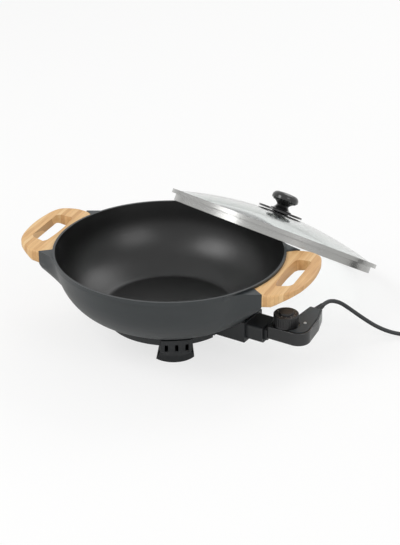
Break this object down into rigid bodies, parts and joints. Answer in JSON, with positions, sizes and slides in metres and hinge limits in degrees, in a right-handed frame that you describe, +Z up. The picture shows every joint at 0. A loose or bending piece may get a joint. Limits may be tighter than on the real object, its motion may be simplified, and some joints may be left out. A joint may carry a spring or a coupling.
{
  "type": "electric wok",
  "caption": "Electric wok with wooden D handles, a glass lid leaning on its rim, and a plug-in dial control on a cord",
  "frame": {"origin": "the pan's axis at table level", "axes": "+X towards the wooden handle above the control, +Z up, +Y towards the leaning lid"},
  "size_m": [0.6787, 0.5649, 0.1976],
  "materials": {
    "nonstick_casting": "cast aluminium with a dark non-stick coating, satin outside",
    "handle_wood": "light brown laminated wood, lacquered",
    "screw_steel": "zinc plated steel",
    "element_steel": "oxidised heating tube",
    "pin_steel": "nickel plated contacts",
    "ceramic": "white ceramic insulator",
    "black_plastic": "moulded heat-resistant plastic, near black",
    "shield_steel": "pressed sheet steel",
    "lid_glass": "clear toughened glass, faintly grey",
    "band_steel": "polished stainless band",
    "black_rubber": "black rubber",
    "knob_plastic": "gloss black phenolic",
    "grey_plate": "matte blue-grey face plate",
    "lamp_lens": "milky lamp lens",
    "cord_rubber": "black flexible lead",
    "tie_plastic": "strap",
    "dial_plastic": "ribbed black dial"
  },
  "bodies": {
    "wok": {"pan": "nonstick_casting", "handle_right": "handle_wood", "handle_left": "handle_wood", "handle_screws": "screw_steel", "heating_element": "element_steel", "element_pins": "pin_steel", "pin_insulators": "ceramic", "base_ring": "black_plastic", "foot_front": "black_plastic", "foot_rear": "black_plastic", "foot_left": "black_plastic", "foot_screws": "screw_steel", "base_screws": "screw_steel", "heat_shield": "shield_steel", "shield_screw": "screw_steel", "socket_shroud": "black_plastic", "socket_collar": "black_plastic", "shroud_screws": "screw_steel", "terminal_plate": "ceramic"},
    "lid": {"lid_glass": "lid_glass", "lid_band": "band_steel", "lid_seal": "black_rubber", "lid_knob": "knob_plastic", "knob_guard": "knob_plastic", "knob_washer": "band_steel", "knob_gasket": "black_rubber", "knob_screw": "screw_steel"},
    "control": {"control_base": "black_plastic", "control_cover": "black_plastic", "cover_plate": "grey_plate", "probe": "pin_steel", "contact_block": "black_plastic", "contact_sleeves": "pin_steel", "pilot_lamp": "lamp_lens", "control_screws": "screw_steel", "switch_frame": "shield_steel", "strain_relief": "black_rubber", "cord_lead": "cord_rubber", "cord_coil": "cord_rubber", "cord_tie": "tie_plastic", "plug_body": "black_rubber", "plug_pins": "pin_steel"},
    "dial": {"dial": "dial_plastic", "dial_spindle": "pin_steel"}
  },
  "joints": [
    {"name": "lid_lift", "type": "slide", "parent": "wok", "child": "lid", "axis": [0, 0, 1], "range_m": [0, 0.2]},
    {"name": "control_pull", "type": "slide", "parent": "wok", "child": "control", "axis": [0.989, -0.1478, 0], "range_m": [0, 0.08]},
    {"name": "dial_turn", "type": "hinge", "parent": "control", "child": "dial", "pos_m": [0.20438, -0.02953, 0.085], "axis": [0, 0, 1], "range_deg": [0, 270]}
  ]
}
